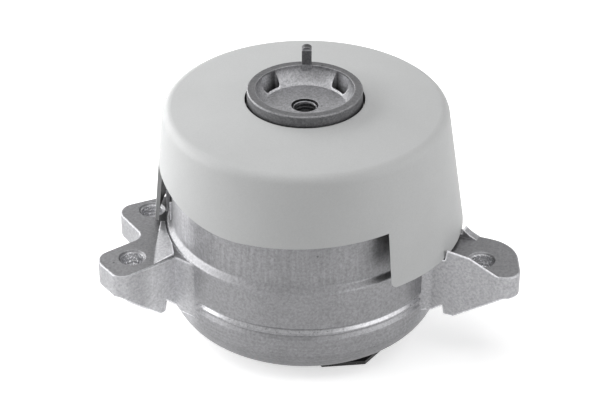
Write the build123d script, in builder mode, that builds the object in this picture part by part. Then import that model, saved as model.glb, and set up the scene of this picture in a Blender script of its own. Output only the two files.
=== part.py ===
import math
import os

from build123d import *

os.makedirs("parts", exist_ok=True)

# Hydraulic engine mount. Z runs up the mount's axis, from the plane that the
# bottom cover stands on. X runs from the double lug to the single lug, and the
# photograph's side faces -Y. All sizes are in millimetres, angles in degrees.

# Fits
seat_gap = 0.2
seal_gap = 0.05
lobe_gap = 0.1
cover_gap = 0.6

# Threads, drawn as their minor bore with a lead-in chamfer
thread_minor_radius = 4.25
thread_chamfer = 1.0

# Housing, a die-cast pot whose rim is rolled in under the stack
belt_radius = 54.0
belt_wall = 5.0
shelf_width = 2.0
cup_wall = 6.0
shelf_z = 41.8
belt_bottom_z = 26.6
cup_top_z = 83.0
top_flange_thickness = 4.5
top_opening_radius = 27.5
cup_top_round = 3.0
rim_bottom_z = 1.7
rim_lip_width = 15.0
rim_seat_z = 8.5
groove_depth = 1.0
groove_widths = (2.7, 2.5)
groove_floor = 0.65
groove_land = 0.5
shelf_outer_z = 42.3
shelf_inner_z = 44.3
shelf_round = 1.2

# Wings: outlines seen from above, with the radius that rounds each corner, and
# undersides as distance out from the belt and height
left_outline = [
    (-34.0, -30.0),
    (-38.0, -36.8),
    (-49.6, -28.3),
    (-69.8, -43.7),
    (-78.6, -31.7),
    (-78.6, -26.4),
    (-62.5, -14.0),
    (-75.9, 6.6),
    (-50.9, 17.9),
    (-45.4, 27.3),
    (-34.0, 30.0),
]
left_radii = [0, 0, 0, 5.0, 6.0, 6.0, 5.0, 6.5, 5.0, 0, 0]
left_holes = [(-65.8, -28.5), (-60.5, 5.4)]
left_underside = [(14.9, 32.2), (2.0, 18.5), (-0.4, 18.5), (-0.4, 23.8), (-5.9, 17.4)]
right_outline = [
    (34.0, -30.0),
    (38.0, -37.0),
    (45.7, -28.7),
    (81.3, -46.1),
    (81.3, -19.3),
    (53.5, -7.6),
    (52.9, 2.8),
    (34.0, 3.0),
]
right_radii = [0, 0, 5.0, 6.0, 14.0, 5.0, 0, 0]
right_holes = [(67.3, -30.0)]
right_underside = [(20.6, 32.2), (2.4, 17.9), (-0.6, 17.9), (-0.8, 22.4), (-5.5, 18.4)]
wing_reach = 90.0
inside_x = 34.0
lug_bottom_round = 3.0
foot_round = 1.0
lug_edge_round = 0.6
boss_radius = 7.0
boss_length = 14.0

# Ribs: start, end, crest as distance and height pairs, and the side that the
# thickness goes to. The last height holds to the end, inside the pot.
front_rib_thickness = 5.0
back_rib_thickness = 3.5
rib_root = 3.0
rib_fall = 0.85
ribs = [
    ((73.5, -42.3), (34.0, -23.0), [(1.0, 0), (13.0, 5.2), (22.0, 6.0), (22.8, 1.4)],
     front_rib_thickness, rib_fall),
    ((68.0, -13.7), (34.0, 0.6), [(0.2, 0), (2.0, 0.8), (3.2, 1.4), (5.0, 2.7), (5.9, 3.5), (6.1, 1.4)],
     -back_rib_thickness, 0),
]

# Ramp that the facing cut left standing on the left wing, and two pilasters
ramp_outline = [
    (-57.9, -33.3),
    (-49.9, -27.2),
    (-51.0, -20.0),
    (-53.7, -10.5),
    (-54.8, -3.5),
    (-56.4, -3.5),
]
ramp_foot_x = 57.4
ramp_crest_x = 49.0
ramp_crest = 1.1
ramp_root = 1.0
pilasters = [(-52.6, -5.0, 8.0), (-54.6, 4.0, 8.0)]
pilaster_height = 10.0

# Core, the aluminium inner part, with its head, collar and cone
core_top_z = 99.5
head_radius = 22.0
head_bottom_z = 85.5
head_edge_chamfer = 0.4
recess_depth = 7.2
recess_top_radius = 18.8
recess_floor_radius = 15.6
recess_bulge = -0.8
pocket_angles = (38.0, 139.0)
pocket_depth = 10.5
pocket_sweep = 20.0
pocket_inner_radius = 16.3
pocket_outer_radius = 18.9
clip_groove_depth = 1.6
clip_groove_height = 2.4
neck_radius = 19.5
collar_side_gap = 10.0
collar_top_z = 71.5
collar_thickness = 5.5
cone_top_radius = 20.0
cone_tip_radius = 10.5
core_bottom_z = 44.0
thread_depth = 26.0
fill_bore_radius = 2.5
fill_ball_height = 16.0
peg_width = 3.8
peg_thickness = 2.8
peg_height = 7.8
peg_offset = 0.75
peg_crown = 0.9
peg_inset = 0.8
peg_root = 4.0

# Rubber spring, its ring and the rebound buffer
ring_wall = 2.0
ring_top_z = 60.0
ring_flange_thickness = 2.5
spring_edge = 4.0
spring_top_sag = -1.5
spring_bottom_rise = 2.0
buffer_thickness = 3.0
buffer_taper = 1.0

# Fluid channel plates, membrane and seal
channel_upper_height = 11.0
channel_lower_height = 6.0
channel_rim = 10.5
channel_width = 6.0
channel_depth = 5.0
channel_sweep = 320.0
port_radius = 2.4
membrane_radius = 25.0
membrane_thickness = 3.0
membrane_grip = 3.0
membrane_play = 0.8
window_count = 8
window_radius = 2.6
window_pitch_radius = 15.5
seal_groove_depth = 2.7
seal_groove_height = 3.0
seal_height = 5.5

# Bellows and its clamp ring
clamp_ring_thickness = 3.0
clamp_ring_width = 7.0
bellows_edge_height = 3.0
bellows_edge_width = 10.0
bellows_wall = 1.8
bellows_centre_radius = 20.0
bellows_drop = 6.0
bellows_slope = 3.5
bellows_bend_radius = 1.4

# Bottom cover
cover_wall = 2.2
cover_height = 10.4
cover_lobe_count = 3
cover_lobe_angle = -60.0
cover_lobe_inset = 7.2
cover_lobe_nose = 6.8
cover_lobe_half_width = 15.5
cover_vent_radius = 3.0
cover_vent_offset = 14.0
hook_angle = 9.0
hook_reach = 1.4
hook_height = 1.4

# Heat cap, whose skirt leans a little and has one wide window
cap_hole_gap = 0.9
cap_top_z = 95.3
cap_shoulder_z = 92.7
cap_top_gap = 0.9
cap_top_lean = 0.3
cap_bottom_gap = 6.9
cap_bottom_z = 43.8
cap_wall = 1.5
cap_edge_round = 4.0
cap_lean = 1.7
cap_collar_height = 7.2
cap_collar_wall = 2.2
cap_clip_reach = 2.0
cap_clip_height = 1.6
window_brow = [(-58.5, 71.4), (-42.5, 65.6), (-22.0, 64.1)]
window_corner = (30.6, 66.4)
window_foot = (32.1, 43.6)
window_corner_round = 3.0
window_start = 5.4

# Radii worked out from the belt
stack_bore_radius = belt_radius - belt_wall
cup_radius = belt_radius - shelf_width
cup_bore_radius = cup_radius - cup_wall
rim_lip_radius = belt_radius - rim_lip_width
collar_radius = cup_bore_radius - collar_side_gap
channel_radius = stack_bore_radius - channel_rim
seal_floor_radius = stack_bore_radius - seal_groove_depth
clamp_ring_inner_radius = stack_bore_radius - clamp_ring_width
bellows_edge_radius = stack_bore_radius - bellows_edge_width
cover_lobe_radius = belt_radius - cover_lobe_inset
cover_lobe_base_radius = cover_lobe_radius - cover_lobe_nose
cap_hole_radius = head_radius + cap_hole_gap
cap_top_radius = cup_radius + cap_top_gap + cap_wall
cap_bottom_radius = cup_radius + cap_bottom_gap + cap_wall

# Heights worked out from the stack, which sits on the rolled rim
clamp_ring_top_z = rim_seat_z + clamp_ring_thickness
bellows_top_z = clamp_ring_top_z + bellows_edge_height
channel_lower_top_z = bellows_top_z + channel_lower_height
channel_upper_top_z = channel_lower_top_z + channel_upper_height
shoulder_z = channel_upper_top_z + ring_flange_thickness
stack_radius = stack_bore_radius - seat_gap
ring_outer_radius = cup_bore_radius - seat_gap
ring_inner_radius = ring_outer_radius - ring_wall
recess_floor_z = core_top_z - recess_depth
collar_bottom_z = collar_top_z - collar_thickness
cap_collar_bottom_z = cap_top_z - cap_collar_height
bead_top_z = belt_bottom_z - sum(groove_widths) - groove_land
seal_z = channel_lower_top_z + seal_height
cover_radius = rim_lip_radius - cover_gap
bellows_centre_z = bellows_top_z - bellows_wall
bellows_roll_z = bellows_centre_z - bellows_drop
window_reach = 2 * cap_bottom_radius


def wing_body(side, outline, radii, profile, holes):
    # a wing with its sloped underside, its foot and a threaded boss at each hole
    underside = [(side * (belt_radius + out), height) for out, height in profile]
    lug_bottom_z = profile[0][1]
    web_root_z = profile[-1][1]
    with BuildPart() as wing:
        with BuildSketch(Plane.XY.offset(web_root_z)):
            with BuildLine():
                FilletPolyline(*outline, radius=radii, close=True)
            make_face()
        extrude(amount=shelf_z - web_root_z)
        with BuildSketch(Plane.XZ):
            with BuildLine():
                FilletPolyline((side * wing_reach, shelf_z), (side * wing_reach, lug_bottom_z), *underside,
                               (side * inside_x, web_root_z), (side * inside_x, shelf_z), close=True,
                               radius=[0, 0, lug_bottom_round, foot_round, foot_round, 0, 0, 0, 0])
            make_face()
        extrude(amount=wing_reach, both=True, mode=Mode.INTERSECT)
        fillet(wing.edges().group_by(Axis.Z)[-1], radius=lug_edge_round)
        with Locations(*[(x, y, shelf_z) for x, y in holes]):
            Cylinder(boss_radius, boss_length, align=(Align.CENTER, Align.CENTER, Align.MAX))
    return wing.part


def rib(start, end, heights, depth, fall):
    # a rib that stands on a lug's edge and climbs towards the cup, its top falling back
    length = math.dist(start, end)
    run = Vector(end[0] - start[0], end[1] - start[1], 0) / length
    wall = Plane(origin=(start[0], start[1], shelf_z), x_dir=run, z_dir=Vector(run.Y, -run.X, 0))
    toe = heights[0][0]
    crest = heights[-1][1]
    with BuildPart() as body:
        with BuildSketch(wall):
            with BuildLine():
                Polyline((toe, -rib_root), *heights, (length, crest), (length, -rib_root), close=True)
            make_face()
        extrude(amount=abs(depth), dir=wall.z_dir * (depth / abs(depth)) - Vector(0, 0, fall))
    return body.part


# Housing: a pot with its belt and bead, two wings, ribs and the stepped bore
left_wing = wing_body(-1, left_outline, left_radii, left_underside, left_holes)
right_wing = wing_body(1, right_outline, right_radii, right_underside, right_holes)

with BuildPart() as ramp:
    with BuildSketch(Plane.XY.offset(shelf_z - ramp_root)):
        with BuildLine():
            Polyline(*ramp_outline, close=True)
        make_face()
    extrude(amount=ramp_root + ramp_crest)
    with BuildSketch(Plane.XZ):
        with BuildLine():
            Polyline((-wing_reach, shelf_z - ramp_root), (-wing_reach, shelf_z), (-ramp_foot_x, shelf_z),
                     (-ramp_crest_x, shelf_z + ramp_crest), (-ramp_crest_x, shelf_z - ramp_root), close=True)
        make_face()
    extrude(amount=wing_reach, both=True, mode=Mode.INTERSECT)

with BuildPart() as housing:
    with BuildSketch(Plane.XZ):
        with BuildLine():
            bead_arc = CenterArc((rim_lip_radius, rim_bottom_z + belt_radius - rim_lip_radius),
                                 belt_radius - rim_lip_radius, -90, 90)
            profile = [bead_arc @ 1]
            groove_z = bead_top_z
            for width in reversed(groove_widths):
                profile.append((belt_radius, groove_z))
                profile.append((belt_radius - groove_depth, groove_z + width * groove_floor))
                profile.append((belt_radius, groove_z + width))
                groove_z += width + groove_land
            Polyline(*profile)
            FilletPolyline(profile[-1], (belt_radius, shelf_outer_z), (cup_radius, shelf_inner_z),
                           (cup_radius, cup_top_z), (0, cup_top_z),
                           radius=[shelf_round, shelf_round, cup_top_round])
            Polyline((0, cup_top_z), (0, rim_bottom_z), bead_arc @ 0)
        make_face()
    revolve(axis=Axis.Z)
    add(left_wing)
    add(right_wing)
    add(ramp.part)
    for rib_start, rib_end, rib_heights, rib_depth, rib_slant in ribs:
        add(rib(rib_start, rib_end, rib_heights, rib_depth, rib_slant))
    for pilaster_x, low_y, high_y in pilasters:
        with Locations((pilaster_x, low_y, shelf_z)):
            Box(-pilaster_x - cup_bore_radius, high_y - low_y, pilaster_height,
                align=(Align.MIN, Align.MIN, Align.MIN))
    with BuildSketch(Plane.XZ):
        with BuildLine():
            Polyline((0, 0), (rim_lip_radius, 0), (rim_lip_radius, rim_seat_z),
                     (stack_bore_radius, rim_seat_z), (stack_bore_radius, shoulder_z),
                     (cup_bore_radius, shoulder_z), (cup_bore_radius, cup_top_z - top_flange_thickness),
                     (top_opening_radius, cup_top_z - top_flange_thickness),
                     (top_opening_radius, core_top_z), (0, core_top_z), close=True)
        make_face()
    revolve(axis=Axis.Z, mode=Mode.SUBTRACT)
    with Locations(*[(x, y, shelf_z - boss_length) for x, y in left_holes + right_holes]):
        Cylinder(boss_radius, shelf_z, align=(Align.CENTER, Align.CENTER, Align.MAX), mode=Mode.SUBTRACT)
    with Locations(*[(x, y, shelf_z) for x, y in left_holes + right_holes]):
        CounterSinkHole(thread_minor_radius, thread_minor_radius + thread_chamfer,
                        depth=belt_radius, counter_sink_angle=90)
housing.part.label = "housing"
export_step(housing.part, "parts/housing.step")

# Core: head, neck, collar and cone, with a recess, two pockets and a thread
with BuildPart() as core:
    with BuildSketch(Plane.XZ):
        with BuildLine():
            groove_top_z = cap_collar_bottom_z + clip_groove_height
            groove_radius = head_radius - clip_groove_depth
            Polyline((0, core_top_z), (head_radius - head_edge_chamfer, core_top_z),
                     (head_radius, core_top_z - head_edge_chamfer), (head_radius, groove_top_z),
                     (groove_radius, groove_top_z), (groove_radius, cap_collar_bottom_z),
                     (head_radius, cap_collar_bottom_z), (head_radius, head_bottom_z),
                     (neck_radius, head_bottom_z), (neck_radius, collar_top_z),
                     (collar_radius, collar_top_z), (collar_radius, collar_bottom_z),
                     (cone_top_radius, collar_bottom_z), (cone_tip_radius, core_bottom_z),
                     (0, core_bottom_z), close=True)
        make_face()
    revolve(axis=Axis.Z)
    with BuildSketch(Plane.XZ):
        with BuildLine():
            flare = SagittaArc((recess_floor_radius, recess_floor_z), (recess_top_radius, core_top_z),
                               recess_bulge)
            Polyline(flare @ 1, (0, core_top_z), (0, recess_floor_z), flare @ 0)
        make_face()
    revolve(axis=Axis.Z, mode=Mode.SUBTRACT)
    with BuildSketch(Plane.XY.offset(core_top_z - pocket_depth)):
        for pocket_angle in pocket_angles:
            SlotArc(CenterArc((0, 0), (pocket_inner_radius + pocket_outer_radius) / 2,
                              pocket_angle - pocket_sweep / 2, pocket_sweep),
                    height=pocket_outer_radius - pocket_inner_radius)
    extrude(amount=pocket_depth, mode=Mode.SUBTRACT)
    with BuildSketch(Plane.XZ.offset(-(head_radius - peg_inset))):
        with BuildLine():
            peg_base_z = core_top_z - peg_root
            peg_side_z = core_top_z + peg_height - peg_crown
            peg_left_x = peg_offset - peg_width / 2
            peg_right_x = peg_offset + peg_width / 2
            Polyline((peg_right_x, peg_side_z), (peg_right_x, peg_base_z),
                     (peg_left_x, peg_base_z), (peg_left_x, peg_side_z))
            ThreePointArc((peg_left_x, peg_side_z), (peg_offset, core_top_z + peg_height),
                          (peg_right_x, peg_side_z))
        make_face()
    extrude(amount=peg_thickness)
    with Locations((0, 0, recess_floor_z)):
        CounterSinkHole(thread_minor_radius, thread_minor_radius + thread_chamfer,
                        depth=thread_depth, counter_sink_angle=90)
    with Locations((0, 0, core_bottom_z)):
        Cylinder(fill_bore_radius, recess_floor_z - core_bottom_z,
                 align=(Align.CENTER, Align.CENTER, Align.MIN), mode=Mode.SUBTRACT)
core.part.label = "core"
export_step(core.part, "parts/core.step")

# Ball that closes the filling bore under the thread
with BuildPart() as fill_ball:
    with Locations((0, 0, core_bottom_z + fill_ball_height)):
        Sphere(fill_bore_radius)
fill_ball.part.label = "fill_ball"
export_step(fill_ball.part, "parts/fill_ball.step")

# Spring ring: a flanged sleeve that the rubber is bonded to
with BuildPart() as spring_ring:
    with BuildSketch(Plane.XZ):
        with BuildLine():
            Polyline((ring_inner_radius, channel_upper_top_z), (stack_radius, channel_upper_top_z),
                     (stack_radius, shoulder_z), (ring_outer_radius, shoulder_z),
                     (ring_outer_radius, ring_top_z), (ring_inner_radius, ring_top_z), close=True)
        make_face()
    revolve(axis=Axis.Z)
spring_ring.part.label = "spring_ring"
export_step(spring_ring.part, "parts/spring_ring.step")

# Main spring: a thick rubber cone between the core and the ring
with BuildPart() as main_spring:
    with BuildSketch(Plane.XZ):
        with BuildLine():
            upper = SagittaArc((cone_top_radius, collar_bottom_z),
                               (ring_inner_radius, ring_top_z - spring_edge), spring_top_sag)
            lower = SagittaArc((ring_inner_radius, channel_upper_top_z + spring_edge),
                               (cone_tip_radius, core_bottom_z), spring_bottom_rise)
            Line(upper @ 1, lower @ 0)
            Line(lower @ 1, upper @ 0)
        make_face()
    revolve(axis=Axis.Z)
main_spring.part.label = "main_spring"
export_step(main_spring.part, "parts/main_spring.step")

# Rebound buffer: a rubber ring on the core's collar, under the pot's flange
with BuildPart() as rebound_buffer:
    with BuildSketch(Plane.XZ):
        with BuildLine():
            Polyline((neck_radius, collar_top_z), (collar_radius, collar_top_z),
                     (collar_radius - buffer_taper, collar_top_z + buffer_thickness),
                     (neck_radius, collar_top_z + buffer_thickness), close=True)
        make_face()
    revolve(axis=Axis.Z)
rebound_buffer.part.label = "rebound_buffer"
export_step(rebound_buffer.part, "parts/rebound_buffer.step")

# Upper channel plate, with the ring channel, the membrane's seat and the seal's groove
with BuildPart() as channel_upper:
    with Locations((0, 0, channel_lower_top_z)):
        Cylinder(stack_radius, channel_upper_height, align=(Align.CENTER, Align.CENTER, Align.MIN))
        Cylinder(membrane_radius, membrane_thickness / 2,
                 align=(Align.CENTER, Align.CENTER, Align.MIN), mode=Mode.SUBTRACT)
        Cylinder(membrane_radius - membrane_grip, membrane_thickness / 2 + membrane_play,
                 align=(Align.CENTER, Align.CENTER, Align.MIN), mode=Mode.SUBTRACT)
    with BuildSketch(Plane.XY.offset(channel_upper_top_z)):
        with PolarLocations(window_pitch_radius, window_count):
            Circle(window_radius)
    extrude(amount=-channel_upper_height, mode=Mode.SUBTRACT)
    with BuildSketch(Plane.XY.offset(channel_lower_top_z)):
        SlotArc(CenterArc((0, 0), channel_radius, 0, channel_sweep), height=channel_width)
    extrude(amount=channel_depth, mode=Mode.SUBTRACT)
    with BuildSketch(Plane.XY.offset(channel_upper_top_z)):
        with Locations((channel_radius, 0)):
            Circle(port_radius)
    extrude(amount=-channel_upper_height, mode=Mode.SUBTRACT)
    with BuildSketch(Plane.XZ):
        with Locations((stack_radius, seal_z)):
            Rectangle(2 * (stack_radius - seal_floor_radius), seal_groove_height)
    revolve(axis=Axis.Z, mode=Mode.SUBTRACT)
channel_upper.part.label = "channel_upper"
export_step(channel_upper.part, "parts/channel_upper.step")

# Lower channel plate, which closes the channel and holds the membrane
with BuildPart() as channel_lower:
    with Locations((0, 0, channel_lower_top_z)):
        Cylinder(stack_radius, channel_lower_height, align=(Align.CENTER, Align.CENTER, Align.MAX))
        Cylinder(membrane_radius, membrane_thickness / 2,
                 align=(Align.CENTER, Align.CENTER, Align.MAX), mode=Mode.SUBTRACT)
        Cylinder(membrane_radius - membrane_grip, membrane_thickness / 2 + membrane_play,
                 align=(Align.CENTER, Align.CENTER, Align.MAX), mode=Mode.SUBTRACT)
    with BuildSketch(Plane.XY.offset(channel_lower_top_z)):
        with PolarLocations(window_pitch_radius, window_count):
            Circle(window_radius)
        with PolarLocations(channel_radius, 1, start_angle=channel_sweep):
            Circle(port_radius)
    extrude(amount=-channel_lower_height, mode=Mode.SUBTRACT)
channel_lower.part.label = "channel_lower"
export_step(channel_lower.part, "parts/channel_lower.step")

# Membrane, gripped at its edge between the two plates
with BuildPart() as membrane:
    with Locations((0, 0, channel_lower_top_z)):
        Cylinder(membrane_radius, membrane_thickness)
membrane.part.label = "membrane"
export_step(membrane.part, "parts/membrane.step")

# Seal ring round the upper plate
with BuildPart() as channel_seal:
    with BuildSketch(Plane.XZ):
        with Locations(((stack_bore_radius + seal_floor_radius) / 2, seal_z)):
            Circle((stack_bore_radius - seal_floor_radius) / 2 - seal_gap)
    revolve(axis=Axis.Z)
channel_seal.part.label = "channel_seal"
export_step(channel_seal.part, "parts/channel_seal.step")

# Bellows: a thick edge and one soft roll
with BuildPart() as bellows:
    with BuildSketch(Plane.XZ):
        with BuildLine():
            FilletPolyline((0, bellows_centre_z), (bellows_centre_radius, bellows_centre_z),
                           (bellows_centre_radius + bellows_slope, bellows_roll_z),
                           (bellows_edge_radius - 2 * bellows_slope, bellows_roll_z),
                           (bellows_edge_radius - bellows_slope, bellows_top_z - bellows_wall),
                           (bellows_edge_radius, bellows_top_z - bellows_wall),
                           radius=bellows_bend_radius)
        trace(line_width=bellows_wall)
        with Locations(((bellows_edge_radius + stack_radius) / 2, (clamp_ring_top_z + bellows_top_z) / 2)):
            Rectangle(stack_radius - bellows_edge_radius, bellows_edge_height)
    revolve(axis=Axis.Z)
bellows.part.label = "bellows"
export_step(bellows.part, "parts/bellows.step")

# Clamp ring between the bellows and the rolled rim
with BuildPart() as clamp_ring:
    with Locations((0, 0, rim_seat_z)):
        Cylinder(stack_radius, clamp_ring_thickness, align=(Align.CENTER, Align.CENTER, Align.MIN))
        Cylinder(clamp_ring_inner_radius, clamp_ring_thickness,
                 align=(Align.CENTER, Align.CENTER, Align.MIN), mode=Mode.SUBTRACT)
clamp_ring.part.label = "clamp_ring"
export_step(clamp_ring.part, "parts/clamp_ring.step")

# Bottom cover: a shallow cup with three standing lobes and three hooks
with BuildPart() as bottom_cover:
    Cylinder(cover_radius, cover_height, align=(Align.CENTER, Align.CENTER, Align.MIN))
    with BuildSketch():
        with PolarLocations(0, cover_lobe_count, start_angle=cover_lobe_angle):
            Polygon((0, -cover_lobe_half_width), (cover_lobe_base_radius, -cover_lobe_half_width),
                    (cover_lobe_radius, 0), (cover_lobe_base_radius, cover_lobe_half_width),
                    (0, cover_lobe_half_width), align=None)
    extrude(amount=rim_bottom_z - lobe_gap)
    with Locations((0, 0, cover_wall)):
        Cylinder(cover_radius - cover_wall, cover_height,
                 align=(Align.CENTER, Align.CENTER, Align.MIN), mode=Mode.SUBTRACT)
    with Locations((cover_vent_offset, 0, 0)):
        Cylinder(cover_vent_radius, 2 * cover_wall, mode=Mode.SUBTRACT)
    with BuildSketch(Plane.XY.offset(rim_seat_z)):
        with PolarLocations(0, cover_lobe_count, start_angle=cover_lobe_angle + 180 / cover_lobe_count):
            SlotArc(CenterArc((0, 0), cover_radius, -hook_angle, 2 * hook_angle), height=2 * hook_reach)
    extrude(amount=hook_height)
bottom_cover.part.label = "bottom_cover"
export_step(bottom_cover.part, "parts/bottom_cover.step")

# Heat cap: a leaning skirt under a nearly flat top, with a collar round the hole
with BuildPart() as heat_cap:
    with BuildSketch(Plane.XY.offset(cap_shoulder_z)):
        with Locations((cap_top_lean, 0)):
            Circle(cap_top_radius)
    with BuildSketch(Plane.XY.offset(cap_bottom_z)):
        with Locations((cap_lean, 0)):
            Circle(cap_bottom_radius)
    loft()
    with BuildSketch(Plane.XY.offset(cap_shoulder_z)):
        with Locations((cap_top_lean, 0)):
            Circle(cap_top_radius)
    with BuildSketch(Plane.XY.offset(cap_top_z)):
        Circle(cap_hole_radius)
    loft()
    fillet(heat_cap.edges().filter_by(GeomType.CIRCLE).sort_by(Edge.length)[-2], radius=cap_edge_round)
    with BuildSketch(Plane.XY.offset(cap_shoulder_z - cap_wall)):
        with Locations((cap_top_lean, 0)):
            Circle(cap_top_radius - cap_wall)
    with BuildSketch(Plane.XY.offset(cap_bottom_z)):
        with Locations((cap_lean, 0)):
            Circle(cap_bottom_radius - cap_wall)
    loft(mode=Mode.SUBTRACT)
    with BuildSketch(Plane.XY.offset(cap_shoulder_z - cap_wall)):
        with Locations((cap_top_lean, 0)):
            Circle(cap_top_radius - cap_wall)
    with BuildSketch(Plane.XY.offset(cap_top_z - cap_wall)):
        Circle(cap_hole_radius)
    loft(mode=Mode.SUBTRACT)
    with Locations((0, 0, cap_shoulder_z)):
        Cylinder(cap_hole_radius, 2 * cap_wall + cap_top_z - cap_shoulder_z, mode=Mode.SUBTRACT)
    with BuildSketch(Plane.XZ):
        with BuildLine():
            collar_outer_radius = cap_hole_radius + cap_collar_wall
            clip_radius = cap_hole_radius - cap_clip_reach
            clip_top_z = cap_collar_bottom_z + cap_clip_height
            Polyline((cap_hole_radius, cap_top_z - cap_wall), (collar_outer_radius, cap_top_z - cap_wall),
                     (collar_outer_radius, cap_collar_bottom_z), (clip_radius, cap_collar_bottom_z),
                     (clip_radius, clip_top_z), (cap_hole_radius, clip_top_z + cap_clip_reach / 2),
                     close=True)
        make_face()
    revolve(axis=Axis.Z)
    with BuildSketch(Plane.XZ.offset(window_start)):
        with BuildLine():
            brow = ThreePointArc(*window_brow)
            post = FilletPolyline(window_corner, window_foot,
                                  (window_foot[0] + 2 * window_corner_round, window_foot[1]),
                                  radius=window_corner_round)
            Line(brow @ 1, post @ 0)
            window_left_x = (brow @ 0).X - cap_wall
            Polyline(post @ 1, ((post @ 1).X, 0), (window_left_x, 0), (window_left_x, (brow @ 0).Y),
                     brow @ 0)
        make_face()
    extrude(amount=window_reach, mode=Mode.SUBTRACT)
heat_cap.part.label = "heat_cap"
export_step(heat_cap.part, "parts/heat_cap.step")
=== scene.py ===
import math
from types import SimpleNamespace

import bpy
import numpy as np
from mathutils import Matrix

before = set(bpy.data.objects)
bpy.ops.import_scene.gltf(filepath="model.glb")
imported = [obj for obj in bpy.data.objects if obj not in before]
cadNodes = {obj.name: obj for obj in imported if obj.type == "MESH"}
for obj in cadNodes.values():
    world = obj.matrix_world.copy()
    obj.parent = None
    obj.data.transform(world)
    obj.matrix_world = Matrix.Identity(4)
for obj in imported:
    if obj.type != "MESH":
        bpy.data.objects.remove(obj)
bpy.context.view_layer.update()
mm = 0.001
noiseSpread = (0.3, 0.7)
print("engine mount: frame loaded with", len(cadNodes), "solids")


def linearColour(hexCode):
    # sRGB to linear: under 0.04045 divide by 12.92, above it ((v + 0.055) / 1.055) to the power 2.4
    values = np.array([int(hexCode[i:i + 2], 16) for i in (1, 3, 5)]) / 255
    linear = np.where(values <= 0.04045, values / 12.92, ((values + 0.055) / 1.055) ** 2.4)
    return (*linear.tolist(), 1.0)


def addNode(tree, kind, values=None, links=None, **options):
    # options are the node's own settings, values its unlinked sockets, links what feeds the others
    node = tree.nodes.new(kind)
    for name, value in options.items():
        setattr(node, name, value)
    for socket, value in (values or {}).items():
        node.inputs[socket].default_value = value
    for socket, source in (links or {}).items():
        tree.links.new(source, node.inputs[socket])
    return node


def newMaterial(name):
    material = bpy.data.materials.new(name)
    material.use_nodes = True
    tree = material.node_tree
    tree.nodes.clear()
    shader = addNode(tree, "ShaderNodeBsdfPrincipled")
    addNode(tree, "ShaderNodeOutputMaterial", links={"Surface": shader.outputs["BSDF"]})
    return material, tree, shader


def maths(tree, operation, *terms):
    # each term is a number or the output of another node
    node = addNode(tree, "ShaderNodeMath", operation=operation)
    for index, term in enumerate(terms):
        if isinstance(term, (int, float)):
            node.inputs[index].default_value = term
        else:
            tree.links.new(term, node.inputs[index])
    return node.outputs["Value"]


def product(tree, first, *others):
    for other in others:
        first = maths(tree, "MULTIPLY", first, other)
    return first


def ramp(tree, value, start, end, low=0.0, high=1.0):
    # low up to start, high from end on, straight in between; start may be the larger of the two
    node = addNode(tree, "ShaderNodeMapRange",
                   {"From Min": start, "From Max": end, "To Min": low, "To Max": high}, {"Value": value})
    return node.outputs["Result"]


def band(tree, value, low, high, soft):
    # 1 between low and high, falling to 0 over the soft width outside them
    return product(tree, ramp(tree, value, low - soft, low), ramp(tree, value, high + soft, high))


def split(tree, vector):
    return addNode(tree, "ShaderNodeSeparateXYZ", links={"Vector": vector}).outputs


def stretch(tree, place, factors):
    node = addNode(tree, "ShaderNodeVectorMath", {1: factors}, {0: place}, operation="MULTIPLY")
    return node.outputs["Vector"]


def distanceFrom(tree, place, x, y):
    # distance from an upright axis, and the place as seen from that axis
    moved = addNode(tree, "ShaderNodeVectorMath", {1: (-x, -y, 0)}, {0: place}, operation="ADD")
    local = moved.outputs["Vector"]
    length = addNode(tree, "ShaderNodeVectorMath", links={0: stretch(tree, local, (1, 1, 0))},
                     operation="LENGTH")
    return length.outputs["Value"], local


def noise(tree, place, size, detail=2.0, roughness=0.6):
    node = addNode(tree, "ShaderNodeTexNoise", {"Scale": 1 / size, "Detail": detail, "Roughness": roughness},
                   {"Vector": place})
    return node.outputs["Fac"]


def spots(tree, place, cell, radius, core=0.7):
    # 1 in round spots, about one to a cell, full over the core's share of their radius
    cells = addNode(tree, "ShaderNodeTexVoronoi", {"Scale": 1 / cell}, {"Vector": place})
    edge = radius / cell
    return ramp(tree, cells.outputs["Distance"], edge, core * edge)


def plainColour(tree, hexCode):
    node = addNode(tree, "ShaderNodeRGB")
    node.outputs["Color"].default_value = linearColour(hexCode)
    return node.outputs["Color"]


def scaled(tree, colour, gain):
    return addNode(tree, "ShaderNodeVectorMath", links={0: colour, "Scale": gain},
                   operation="SCALE").outputs["Vector"]


def vary(tree, colour, pattern, amount):
    # a noise makes the colour lighter and darker by the amount
    return scaled(tree, colour, ramp(tree, pattern, *noiseSpread, 1 - amount, 1 + amount))


def tint(tree, colour, mask, factor):
    # the colour times the factor where the mask is 1
    return scaled(tree, colour, ramp(tree, mask, 0.0, 1.0, 1.0, factor))


def mixed(tree, weight, first, second):
    # the first colour at weight 0, the second at weight 1
    return addNode(tree, "ShaderNodeMix", links={0: weight, 6: first, 7: second}, data_type="RGBA").outputs[2]


# Die-cast aluminium alloy, blasted after casting: a mottled metallic grey with cloudy
# patches, scattered pits and a painted highlight along the outer edges
castSettings = {
    "grey": "#8e8e90",
    "cloudSize": 16 * mm,
    "cloudDetail": 4.0,
    "cloudAmount": 0.06,
    "grainSize": 1.0 * mm,
    "grainDetail": 3.0,
    "grainCoarseness": 0.7,
    "grainAmount": 0.24,
    "grainHeight": 0.05 * mm,
    "pitCell": 13 * mm,
    "pitRadius": 0.5 * mm,
    "pitFactor": 0.5,
    "roughSpread": (0.25, 0.75),
    "roughness": (0.42, 0.58),
    "roundRadius": 0.4 * mm,
    "edgeReach": 0.8 * mm,
    "edgeOpenness": (0.9, 0.6),
    "edgeHighlightFactor": 2.0,
    "threadPitch": 1.5 * mm,
    "threadRadius": 4.6 * mm,
    "threadDepth": 0.35 * mm,
}


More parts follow.
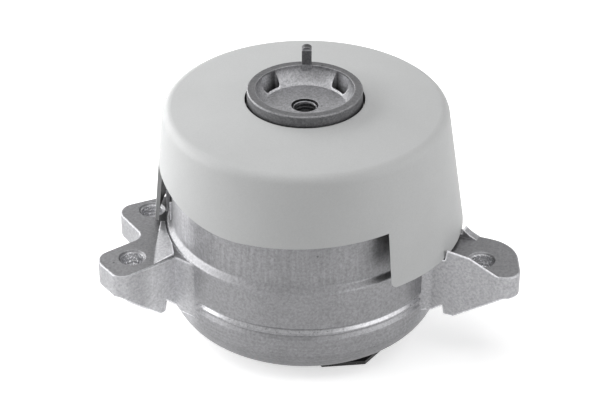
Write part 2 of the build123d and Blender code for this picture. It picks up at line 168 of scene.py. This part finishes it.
def threadWave(tree, place, axes, settings):
    # a wave of height along each bore's axis that climbs one pitch a turn, and a mask of the bores
    waves = 0.0
    bores = 0.0
    for axisX, axisY in axes:
        distance, local = distanceFrom(tree, place, axisX, axisY)
        around = split(tree, local)
        angle = maths(tree, "ARCTAN2", around["Y"], around["X"])
        climb = maths(tree, "MULTIPLY", around["Z"], 1 / settings["threadPitch"])
        turns = maths(tree, "MULTIPLY_ADD", angle, 1 / (2 * math.pi), climb)
        wave = maths(tree, "PINGPONG", turns, 0.5)
        inside = maths(tree, "LESS_THAN", distance, settings["threadRadius"])
        waves = maths(tree, "ADD", product(tree, wave, inside), waves)
        bores = maths(tree, "ADD", inside, bores)
    return waves, bores


def castSurface(name, settings, threadAxes):
    # up and front are the parts of the face's normal along z and y
    material, tree, shader = newMaterial(name)
    place = addNode(tree, "ShaderNodeTexCoord").outputs["Object"]
    parts = split(tree, place)
    facing = split(tree, addNode(tree, "ShaderNodeNewGeometry").outputs["Normal"])
    radius, _ = distanceFrom(tree, place, 0, 0)
    grain = noise(tree, place, settings["grainSize"], settings["grainDetail"], settings["grainCoarseness"])
    clouds = noise(tree, place, settings["cloudSize"], settings["cloudDetail"])
    colour = vary(tree, plainColour(tree, settings["grey"]), clouds, settings["cloudAmount"])
    colour = vary(tree, colour, grain, settings["grainAmount"])
    pits = spots(tree, place, settings["pitCell"], settings["pitRadius"])
    colour = tint(tree, colour, pits, settings["pitFactor"])

    # looking inwards, only an outer edge has a near face in the way; there the colour gets a painted
    # highlight
    inward = addNode(tree, "ShaderNodeAmbientOcclusion", {"Distance": settings["edgeReach"]},
                     inside=True, only_local=True, samples=8)
    edgeHighlight = ramp(tree, inward.outputs["AO"], *settings["edgeOpenness"])
    colour = tint(tree, colour, edgeHighlight, settings["edgeHighlightFactor"])
    roughness = ramp(tree, grain, *settings["roughSpread"], *settings["roughness"])
    tree.links.new(roughness, shader.inputs["Roughness"])
    shader.inputs["Metallic"].default_value = 1.0

    threads, bores = threadWave(tree, place, threadAxes, settings)
    rounded = addNode(tree, "ShaderNodeBevel", {"Radius": settings["roundRadius"]}, samples=4)
    grainBump = addNode(tree, "ShaderNodeBump", {"Strength": 1.0, "Distance": settings["grainHeight"]},
                        {"Height": grain, "Normal": rounded.outputs["Normal"]})
    threadBump = addNode(tree, "ShaderNodeBump", {"Strength": 1.0, "Distance": settings["threadDepth"]},
                         {"Height": threads, "Normal": grainBump.outputs["Normal"]})
    tree.links.new(threadBump.outputs["Normal"], shader.inputs["Normal"])
    return SimpleNamespace(material=material, tree=tree, shader=shader, colour=colour, roughness=roughness,
                           place=place, radius=radius, height=parts["Z"], across=parts["X"],
                           aside=maths(tree, "ABSOLUTE", parts["X"]), up=facing["Z"], front=facing["Y"],
                           bores=bores)


# Housing: the lugs' tops are milled, which leaves them darker than the blasted skin. Cup and
# bead keep faint marks of the die. Inside the lug bores the colour is lifted by painted light,
# with painted glints on the thread crests, and the lead-in at each bore's mouth is darkened by
# painted shade. The tints of the pot's middle, the lug walls, the ramp on the left wing, the
# corner beside it and the upper groove are no part of the real finish: they stand in for light
# that the soft boxes don't give, and were chosen for the front view. A pair says where an effect
# starts and where it is full, or, where a blend is named with it, the two borders that the blend
# goes beyond.
housingSettings = {
    "lugAxes": [(-65.8 * mm, -28.5 * mm), (-60.5 * mm, 5.4 * mm), (67.3 * mm, -30.0 * mm)],
    "millHeight": 41.8 * mm,
    "millTolerance": 0.05 * mm,
    "millRadii": (54.4 * mm, 54.6 * mm),
    "millSlope": (0.99, 0.999),
    "millFactor": 0.68,
    "rampBox": (-57.6 * mm, -48 * mm),
    "rampBlend": 0.3 * mm,
    "rampHeights": (41.8 * mm, 41.9 * mm),
    "rampSlope": (0.95, 0.97),
    "rampFactor": 1.5,
    "middleWidths": (42 * mm, 8 * mm),
    "middleFactor": 0.78,
    "sideSlope": (0.5, 0.3),
    "lugWidths": (42 * mm, 50 * mm),
    "lugFactor": 1.3,
    "facetBox": (-58 * mm, -44 * mm),
    "facetBlend": 4 * mm,
    "facetSlope": (-0.3, -0.5),
    "facetFactor": 1.42,
    "grooveHeights": (24.2 * mm, 25.2 * mm),
    "grooveBlend": 0.1 * mm,
    "grooveSlope": (0.2, 0.3),
    "grooveFactor": 1.4,
    "grooveSmoothness": 0.6,
    "markSize": 1.0 * mm,
    "cupHeights": (44 * mm, 45 * mm),
    "cupStretch": (1, 1, 0.08),
    "cupAmount": 0.09,
    "beadHeights": (24 * mm, 23 * mm),
    "beadSize": 0.8 * mm,
    "beadAmount": 0.1,
    "boreLightFactor": 1.5,
    "glintSize": 0.8 * mm,
    "glintSpread": (0.55, 0.62),
    "glintFactor": 2.2,
    "leadRadii": (4.3 * mm, 5.5 * mm),
    "leadBlend": 0.1 * mm,
    "leadHeights": (41.8 * mm, 41.7 * mm),
    "leadShadeFactor": 0.65,
}


def housingFinish(settings):
    skin = castSurface("blastedCastAluminium", castSettings, settings["lugAxes"])
    tree = skin.tree
    milled = product(tree, ramp(tree, skin.up, *settings["millSlope"]),
                     band(tree, skin.height, settings["millHeight"], settings["millHeight"],
                          settings["millTolerance"]),
                     ramp(tree, skin.radius, *settings["millRadii"]))
    colour = tint(tree, skin.colour, milled, settings["millFactor"])
    rampBlock = product(tree, band(tree, skin.across, *settings["rampBox"], settings["rampBlend"]),
                        ramp(tree, skin.height, *settings["rampHeights"]),
                        ramp(tree, skin.up, *settings["rampSlope"]))
    colour = tint(tree, colour, rampBlock, settings["rampFactor"])

    colour = tint(tree, colour, ramp(tree, skin.aside, *settings["middleWidths"]), settings["middleFactor"])
    walls = ramp(tree, skin.up, *settings["sideSlope"])
    lugWalls = product(tree, walls, ramp(tree, skin.aside, *settings["lugWidths"]))
    colour = tint(tree, colour, lugWalls, settings["lugFactor"])
    facet = product(tree, walls, band(tree, skin.across, *settings["facetBox"], settings["facetBlend"]),
                    ramp(tree, skin.front, *settings["facetSlope"]))
    colour = tint(tree, colour, facet, settings["facetFactor"])

    groove = product(tree, band(tree, skin.height, *settings["grooveHeights"], settings["grooveBlend"]),
                     ramp(tree, skin.up, *settings["grooveSlope"]))
    colour = tint(tree, colour, groove, settings["grooveFactor"])
    smoothing = ramp(tree, groove, 0.0, 1.0, 1.0, settings["grooveSmoothness"])
    tree.links.new(product(tree, skin.roughness, smoothing), skin.shader.inputs["Roughness"])

    upright = noise(tree, stretch(tree, skin.place, settings["cupStretch"]), settings["markSize"])
    cupColour = vary(tree, colour, upright, settings["cupAmount"])
    ringPlace = addNode(tree, "ShaderNodeCombineXYZ", links={"X": skin.radius, "Z": skin.height})
    rings = noise(tree, ringPlace.outputs["Vector"], settings["beadSize"])
    beadColour = vary(tree, colour, rings, settings["beadAmount"])
    colour = mixed(tree, ramp(tree, skin.height, *settings["cupHeights"]), colour, cupColour)
    colour = mixed(tree, ramp(tree, skin.height, *settings["beadHeights"]), colour, beadColour)

    # painted light inside the lug bores, and painted glints where the thread crests catch the lamps
    colour = tint(tree, colour, skin.bores, settings["boreLightFactor"])
    glints = ramp(tree, noise(tree, skin.place, settings["glintSize"]), *settings["glintSpread"])
    colour = tint(tree, colour, product(tree, glints, skin.bores), settings["glintFactor"])
    # painted shade on the lead-in around the mouth of each lug bore
    for lugX, lugY in settings["lugAxes"]:
        distance, _ = distanceFrom(tree, skin.place, lugX, lugY)
        lead = product(tree, band(tree, distance, *settings["leadRadii"], settings["leadBlend"]),
                       ramp(tree, skin.height, *settings["leadHeights"]))
        colour = tint(tree, colour, lead, settings["leadShadeFactor"])
    tree.links.new(colour, skin.shader.inputs["Base Color"])
    return skin.material


# Core: the same alloy with a coarser skin, darker on its machined rim, a dark locating tab
# with one pale band, and one nick in the rim. The tints of the pockets, the recess wall, the
# centre hole, the gap above its first thread and the lip below that gap stand in for light and
# shadow, as on the housing.
coreSettings = dict(castSettings, grainSize=0.8 * mm, grainAmount=0.34, pitCell=9 * mm, edgeHighlightFactor=1.45)
hubSettings = {
    "blend": 0.1 * mm,
    "rimRadii": (18.6 * mm, 18.9 * mm),
    "rimHeights": (86.3 * mm, 87.3 * mm),
    "rimFactor": 0.56,
    "rimSlope": (0.9, 0.98),
    "rimTopFactor": 0.82,
    "pocketRadii": (18.86 * mm, 19.2 * mm),
    "pocketBlend": 0.05 * mm,
    "pocketHeights": (99.0 * mm, 98.5 * mm),
    "pocketSides": (12.4 * mm, 15 * mm),
    "pocketFactors": (0.6, 3.2),
    "wallRadii": (15.7 * mm, 18.8 * mm),
    "wallBlend": 0.2 * mm,
    "wallHeights": (92.3 * mm, 92.7 * mm),
    "wallFactor": 1.15,
    "tabHeights": (99.6 * mm, 99.9 * mm),
    "tabFactor": 0.42,
    "tabBand": (105.7 * mm, 106.3 * mm),
    "tabBandFactor": 2.6,
    "holeRadii": (5.4 * mm, 5.3 * mm),
    "holeHeights": (92.25 * mm, 92.15 * mm),
    "holeShadeFactor": 0.7,
    "gapHeights": (91.45 * mm, 91.55 * mm),
    "gapFactor": 0.05,
    "lipHeights": (91.1 * mm, 91.45 * mm),
    "lipHighlightFactor": 2.14,
    "nick": (6.7 * mm, 18.2 * mm),
    "nickRadii": (0.7 * mm, 0.42 * mm),
}


def hubFinish(settings):
    skin = castSurface("blastedCastHub", coreSettings, [(0, 0)])
    tree = skin.tree
    rim = product(tree, ramp(tree, skin.radius, *settings["rimRadii"]),
                  ramp(tree, skin.height, *settings["rimHeights"]))
    colour = tint(tree, skin.colour, rim, settings["rimFactor"])
    rimTop = product(tree, rim, ramp(tree, skin.up, *settings["rimSlope"]))
    colour = tint(tree, colour, rimTop, settings["rimTopFactor"])

    pocket = product(tree, band(tree, skin.radius, *settings["pocketRadii"], settings["pocketBlend"]),
                     ramp(tree, skin.height, *settings["pocketHeights"]))
    innerEnd, outerEnd = settings["pocketSides"]
    darkEnd, lightEnd = settings["pocketFactors"]
    colour = tint(tree, colour, product(tree, pocket, ramp(tree, skin.aside, outerEnd, innerEnd)), darkEnd)
    colour = tint(tree, colour, product(tree, pocket, ramp(tree, skin.aside, innerEnd, outerEnd)), lightEnd)
    wall = product(tree, band(tree, skin.radius, *settings["wallRadii"], settings["wallBlend"]),
                   ramp(tree, skin.height, *settings["wallHeights"]))
    colour = tint(tree, colour, wall, settings["wallFactor"])

    colour = tint(tree, colour, ramp(tree, skin.height, *settings["tabHeights"]), settings["tabFactor"])
    tabBand = band(tree, skin.height, *settings["tabBand"], settings["blend"])
    colour = tint(tree, colour, tabBand, settings["tabBandFactor"])

    # painted shade in the centre hole, near-black painted shadow in the gap above the first thread, and a
    # painted highlight on the lip below it
    hole = product(tree, ramp(tree, skin.radius, *settings["holeRadii"]),
                   ramp(tree, skin.height, *settings["holeHeights"]))
    colour = tint(tree, colour, hole, settings["holeShadeFactor"])
    gap = product(tree, hole, ramp(tree, skin.height, *settings["gapHeights"]))
    colour = tint(tree, colour, gap, settings["gapFactor"])
    lip = product(tree, hole, band(tree, skin.height, *settings["lipHeights"], settings["blend"]))
    colour = tint(tree, colour, lip, settings["lipHighlightFactor"])

    nickDistance, _ = distanceFrom(tree, skin.place, *settings["nick"])
    colour = tint(tree, colour, ramp(tree, nickDistance, *settings["nickRadii"]), castSettings["pitFactor"])
    tree.links.new(colour, skin.shader.inputs["Base Color"])
    return skin.material


# Moulded glass-filled nylon of the heat cap: an even pale grey with a satin skin, and nearly
# black painted shade on its inward faces and underside
capSettings = {
    "grey": "#bcbdbd",
    "cloudSize": 30 * mm,
    "cloudDetail": 4.0,
    "cloudAmount": 0.03,
    "skinSize": 0.6 * mm,
    "skinAmount": 0.03,
    "skinHeight": 0.01 * mm,
    "speckCell": 24 * mm,
    "speckRadius": 0.45 * mm,
    "speckFactor": 0.7,
    "roughness": 0.55,
    "inwardSlope": (-0.5, -0.7),
    "levelSlope": (0.4, 0.3),
    "downSlope": (-0.7, -0.9),
    "insideShadeFactor": 0.06,
}


def mouldedSurface(name, settings):
    material, tree, shader = newMaterial(name)
    place = addNode(tree, "ShaderNodeTexCoord").outputs["Object"]
    skin = noise(tree, place, settings["skinSize"])
    clouds = noise(tree, place, settings["cloudSize"], settings["cloudDetail"])
    colour = vary(tree, plainColour(tree, settings["grey"]), clouds, settings["cloudAmount"])
    colour = vary(tree, colour, skin, settings["skinAmount"])
    specks = spots(tree, place, settings["speckCell"], settings["speckRadius"])
    colour = tint(tree, colour, specks, settings["speckFactor"])
    shader.inputs["Roughness"].default_value = settings["roughness"]
    bump = addNode(tree, "ShaderNodeBump", {"Strength": 1.0, "Distance": settings["skinHeight"]},
                   {"Height": skin})
    tree.links.new(bump.outputs["Normal"], shader.inputs["Normal"])
    tree.links.new(colour, shader.inputs["Base Color"])
    return SimpleNamespace(material=material, tree=tree, shader=shader, colour=colour, place=place)


def capFinish(settings):
    skin = mouldedSurface("mouldedGreyNylon", settings)
    tree = skin.tree
    outward = addNode(tree, "ShaderNodeVectorMath", links={0: stretch(tree, skin.place, (1, 1, 0))},
                      operation="NORMALIZE").outputs["Vector"]
    normal = addNode(tree, "ShaderNodeNewGeometry").outputs["Normal"]
    away = addNode(tree, "ShaderNodeVectorMath", links={0: outward, 1: normal},
                   operation="DOT_PRODUCT").outputs["Value"]
    up = split(tree, normal)["Z"]
    # painted shade, nearly black, on the cap's inward faces and underside where the narrow gap is in shadow
    shadedInnerSide = product(tree, ramp(tree, away, *settings["inwardSlope"]),
                        ramp(tree, up, *settings["levelSlope"]))
    colour = tint(tree, skin.colour, shadedInnerSide, settings["insideShadeFactor"])
    colour = tint(tree, colour, ramp(tree, up, *settings["downSlope"]), settings["insideShadeFactor"])
    tree.links.new(colour, skin.shader.inputs["Base Color"])
    return skin.material


# Moulded black nylon of the cover and plates, and the rubber of the spring and its seals
blackSettings = dict(capSettings, grey="#1b1b1c", roughness=0.42)
rubberSettings = dict(capSettings, grey="#151515", roughness=0.75)

castHousing = housingFinish(housingSettings)
castCore = hubFinish(hubSettings)
capNylon = capFinish(capSettings)
blackNylon = mouldedSurface("mouldedBlackNylon", blackSettings).material
mouldedRubber = mouldedSurface("mouldedRubber", rubberSettings).material
finishes = {
    castHousing: ["housing", "spring_ring", "fill_ball", "clamp_ring"],
    castCore: ["core"],
    capNylon: ["heat_cap"],
    blackNylon: ["bottom_cover", "channel_upper", "channel_lower"],
    mouldedRubber: ["main_spring", "rebound_buffer", "membrane", "channel_seal", "bellows"],
}
for material, names in finishes.items():
    for name in names:
        mesh = cadNodes[name].data
        mesh.materials.clear()
        mesh.materials.append(material)
    print("engine mount:", material.name, "on", len(names), "solids")

# Studio: a pale floor, a white surround and soft boxes, each with its place, size and power
studio = {
    "floorSize": 6.0,
    "floorGrey": "#f4f4f4",
    "floorRoughness": 0.9,
    "floorWhite": (0.52, 1.0),
    "floorFade": (0.3, 1.2),
    "worldStrength": 0.04,
    "aim": (0, 0, 0.05),
    "boxes": [
        ("topBox", (0.0, 0.0, 1.2), 1.2, 9.1),
        ("leftBox", (-1.1, 0.0, 0.35), 0.7, 8.9),
        ("backLeftBox", (-0.8, 0.8, 0.45), 0.7, 8.5),
        ("rightBox", (1.1, 0.0, 0.35), 0.7, 2.6),
        ("frontRightBox", (0.85, -0.7, 0.4), 0.7, 3.2),
    ],
}


def seenWhite(tree):
    # 1 for what the camera, a reflection or a clear body sees, 0 for the light that falls on things
    path = addNode(tree, "ShaderNodeLightPath").outputs
    seen = maths(tree, "MAXIMUM", path["Is Camera Ray"], path["Is Glossy Ray"])
    return maths(tree, "MAXIMUM", seen, path["Is Transmission Ray"])


def paperMaterial(settings):
    # away from the lamps the paper's own white makes up for the light that it loses
    material, tree, shader = newMaterial("paperFloor")
    shader.inputs["Base Color"].default_value = linearColour(settings["floorGrey"])
    shader.inputs["Roughness"].default_value = settings["floorRoughness"]
    shader.inputs["Emission Color"].default_value = (1, 1, 1, 1)
    place = addNode(tree, "ShaderNodeTexCoord").outputs["Object"]
    distance, _ = distanceFrom(tree, place, 0, 0)
    glow = ramp(tree, distance, *settings["floorFade"], *settings["floorWhite"])
    tree.links.new(product(tree, seenWhite(tree), glow), shader.inputs["Emission Strength"])
    return material


half = studio["floorSize"] / 2
floorMesh = bpy.data.meshes.new("floor")
floorMesh.from_pydata([(-half, -half, 0), (half, -half, 0), (half, half, 0), (-half, half, 0)], [],
                      [(0, 1, 2, 3)])
floor = bpy.data.objects.new("floor", floorMesh)
bpy.context.scene.collection.objects.link(floor)
floorMesh.materials.append(paperMaterial(studio))

# the surround is plain white to the camera and in reflections, and almost dark as a light
world = bpy.data.worlds.new("studio")
bpy.context.scene.world = world
world.use_nodes = True
worldTree = world.node_tree
worldTree.nodes.clear()
strength = ramp(worldTree, seenWhite(worldTree), 0.0, 1.0, studio["worldStrength"], 1.0)
glow = addNode(worldTree, "ShaderNodeBackground", {"Color": (1, 1, 1, 1)}, {"Strength": strength})
addNode(worldTree, "ShaderNodeOutputWorld", links={"Surface": glow.outputs["Background"]})

for name, place, size, power in studio["boxes"]:
    light = bpy.data.lights.new(name, "AREA")
    light.shape = "SQUARE"
    light.size = size
    light.energy = power
    lamp = bpy.data.objects.new(name, light)
    direction = np.array(studio["aim"]) - np.array(place)
    distance = float(np.linalg.norm(direction))
    lamp.location = place
    lamp.rotation_euler = (math.acos(-direction[2] / distance),
                           0, math.atan2(direction[1], direction[0]) - math.pi / 2)
    bpy.context.scene.collection.objects.link(lamp)

# Camera, set back 0.7 m from the hub and looking down 32 degrees
cameraSettings = {
    "place": (-1.84 * mm, -614.3 * mm, 437.7 * mm),
    "pitch": 32.28,
    "lens": 111.3,
    "sensor": 36.0,
}
cameraData = bpy.data.cameras.new("camera")
cameraData.lens = cameraSettings["lens"]
cameraData.sensor_width = cameraSettings["sensor"]
camera = bpy.data.objects.new("camera", cameraData)
camera.location = cameraSettings["place"]
camera.rotation_euler = (math.radians(90 - cameraSettings["pitch"]), 0, 0)
bpy.context.scene.collection.objects.link(camera)
bpy.context.scene.camera = camera
bpy.context.scene.view_settings.view_transform = "Standard"
print("engine mount: studio and camera set")
